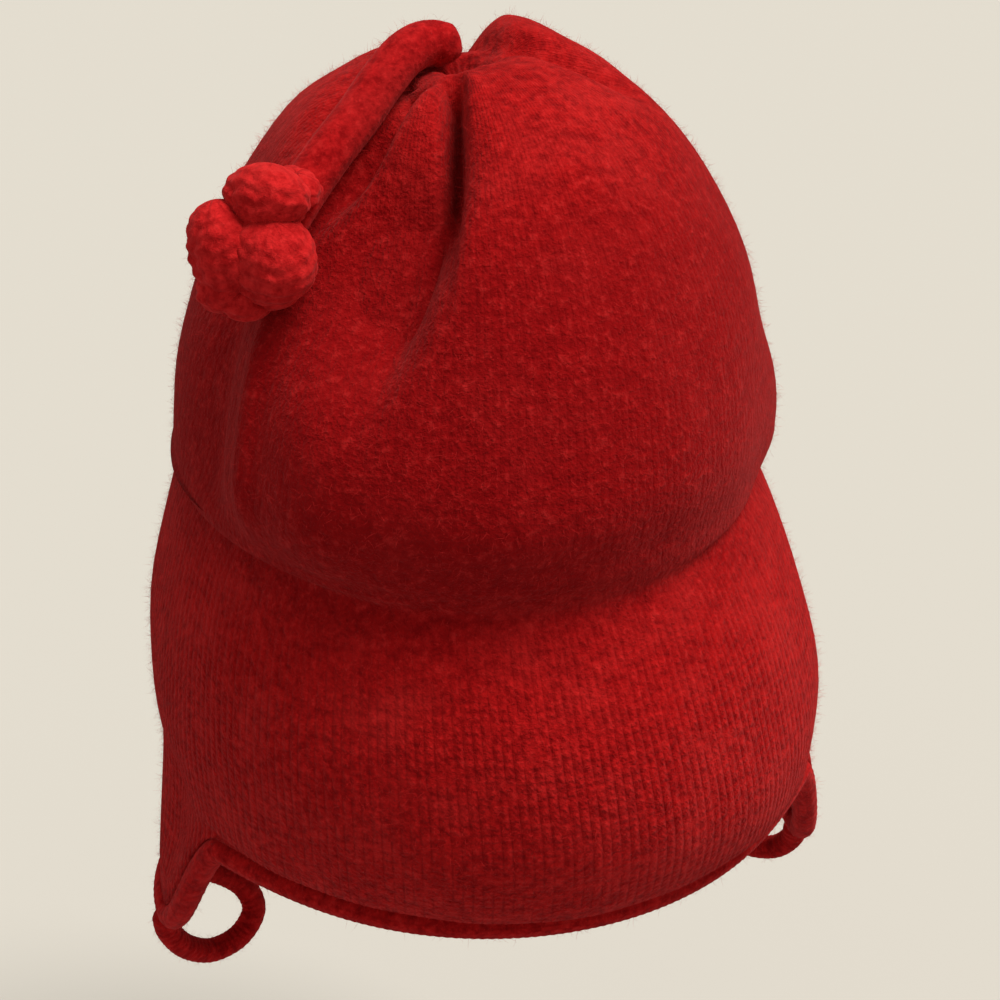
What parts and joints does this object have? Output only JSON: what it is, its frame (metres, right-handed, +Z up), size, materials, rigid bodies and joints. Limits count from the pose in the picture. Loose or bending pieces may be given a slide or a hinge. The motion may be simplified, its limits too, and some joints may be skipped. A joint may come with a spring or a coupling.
{
  "type": "felted wool stocking cap with ear flaps",
  "caption": "Soft knitted wool cap with a full band, a drooping gathered crown, a long knotted tail, ear flaps and cord loops under the flaps.",
  "frame": {"origin": "middle of the hem opening, where a head goes in", "axes": "+Z up through the crown, -Y the front of the cap, ear flaps at -X and +X"},
  "size_m": [0.1938, 0.1975, 0.2756],
  "materials": {
    "felted_knit": "felted wool knit with fine vertical ribs and a soft haze of fibres",
    "edge_knit": "knitted wool cord, felted",
    "loop_knit": "knitted wool cord, felted",
    "tail_knit": "narrow tube of felted wool knit",
    "knot_yarn": "looped wool yarn, slightly fuzzy"
  },
  "bodies": {
    "root": {"cap_shell": "felted_knit", "edge_cord": "edge_knit", "left_loop": "loop_knit", "right_loop": "loop_knit", "tail": "tail_knit", "tail_knot": "knot_yarn"}
  },
  "joints": []
}
